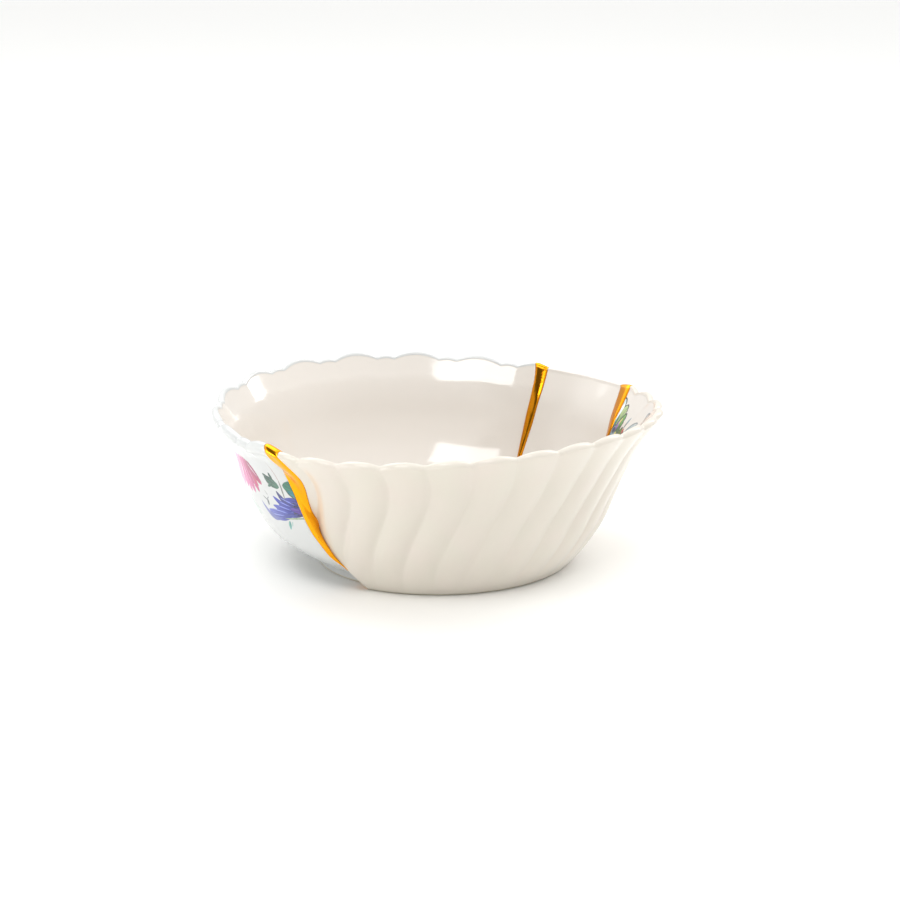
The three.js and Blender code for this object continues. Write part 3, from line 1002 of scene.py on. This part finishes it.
def soft_room(strength):
    """A white room: brightest overhead, dimmer at eye level, and dim behind the camera."""
    world = bpy.data.worlds.new("soft room")
    world.use_nodes = True
    tree = world.node_tree
    way = add_node(tree, "ShaderNodeTexCoord", {}).outputs["Generated"]
    split = add_node(tree, "ShaderNodeSeparateXYZ", {0: way}).outputs
    level = smooth_range(tree, split["Y"], ROOM_BEHIND, ROOM_OPPOSITE)
    overhead = smooth_range(tree, split["Z"], (ROOM_LOW, level), ROOM_OVERHEAD)
    # The dim gap is high on the left of the camera, where the back of the bowl mirrors it
    gap = add_node(tree, "ShaderNodeVectorMath", {0: way, 1: DIM_GAP}, operation="DOT_PRODUCT")
    outer, inner = DIM_GAP_EDGES
    dimmed = (inner, strength * DIM_GAP_SHARE)
    open_room = smooth_range(tree, gap.outputs["Value"], (outer, strength), dimmed)
    background = tree.nodes["Background"]
    tree.links.new(calculate(tree, "MULTIPLY", overhead, open_room), background.inputs["Strength"])
    background.inputs["Color"].default_value = opaque(linear("#FFFFFF"))
    return world


class KINTSUGI_OT_stage(bpy.types.Operator):
    """Makes the floor, the lights and the camera."""

    bl_idname = "kintsugi.stage"
    bl_label = "Stage"

    def execute(self, context):
        stage = context.scene.kintsugi_stage
        scene = context.scene
        scene.view_settings.view_transform = "Standard"

        mesh = bpy.data.meshes.new("floor")
        corners = [(x * FLOOR_REACH, y * FLOOR_REACH, 0) for x, y in ((-1, -1), (1, -1), (1, 1), (-1, 1))]
        mesh.from_pydata(corners, [], [(0, 1, 2, 3)])
        material, _, shader = new_material("pale floor")
        shader.inputs["Base Color"].default_value = opaque(stage.floor)
        shader.inputs["Roughness"].default_value = 0.6
        mesh.materials.append(material)
        floor = bpy.data.objects.new("floor", mesh)
        scene.collection.objects.link(floor)

        scene.world = soft_room(stage.room_light)
        for name, (heading, climb, away, sides, setting) in LIGHTS.items():
            soft_box(name, heading, climb, away, sides, getattr(stage, setting))

        data = bpy.data.cameras.new("camera")
        data.lens = LENS_MM
        data.sensor_width = SENSOR_MM
        camera = bpy.data.objects.new("camera", data)
        camera.location = (0, -stage.camera_distance, stage.camera_height)
        camera.rotation_euler = (math.pi / 2 - stage.camera_pitch, 0, -stage.camera_yaw)
        scene.collection.objects.link(camera)
        scene.camera = camera
        return {"FINISHED"}


class KINTSUGI_PT_panel(bpy.types.Panel):
    """Lists the bowl's pieces and their settings."""

    bl_idname = "KINTSUGI_PT_panel"
    bl_label = "Kintsugi bowl"
    bl_space_type = "VIEW_3D"
    bl_region_type = "UI"
    bl_category = "Kintsugi bowl"

    def draw(self, context):
        for settings in SETTINGS:
            box = self.layout.box()
            group = getattr(context.scene, settings)
            for name in group.bl_rna.properties.keys():
                if name not in ("rna_type", "name"):
                    box.prop(group, name)
        for operator in OPERATORS:
            self.layout.operator(operator.bl_idname)


SETTINGS = {
    "kintsugi_porcelain": PorcelainSettings,
    "kintsugi_gold": GoldSettings,
    "kintsugi_stage": StageSettings,
}
OPERATORS = (
    KINTSUGI_OT_fluted_shard,
    KINTSUGI_OT_painted_shard,
    KINTSUGI_OT_plain_shard,
    KINTSUGI_OT_gold_seam,
    KINTSUGI_OT_stage,
)
CLASSES = (*SETTINGS.values(), *OPERATORS, KINTSUGI_PT_panel)


def register():
    """Makes the bowl's operators, settings and panel known."""
    for each in CLASSES:
        bpy.utils.register_class(each)
    for name, settings in SETTINGS.items():
        setattr(bpy.types.Scene, name, bpy.props.PointerProperty(type=settings))


def unregister():
    """Takes away what register made known."""
    for name in SETTINGS:
        delattr(bpy.types.Scene, name)
    for each in reversed(CLASSES):
        bpy.utils.unregister_class(each)


def main():
    """Makes the bowl on its stage."""
    register()
    bpy.ops.kintsugi.fluted_shard()
    bpy.ops.kintsugi.painted_shard()
    bpy.ops.kintsugi.plain_shard()
    bpy.ops.kintsugi.gold_seam()
    bpy.ops.kintsugi.stage()


if __name__ == "__main__":
    main()
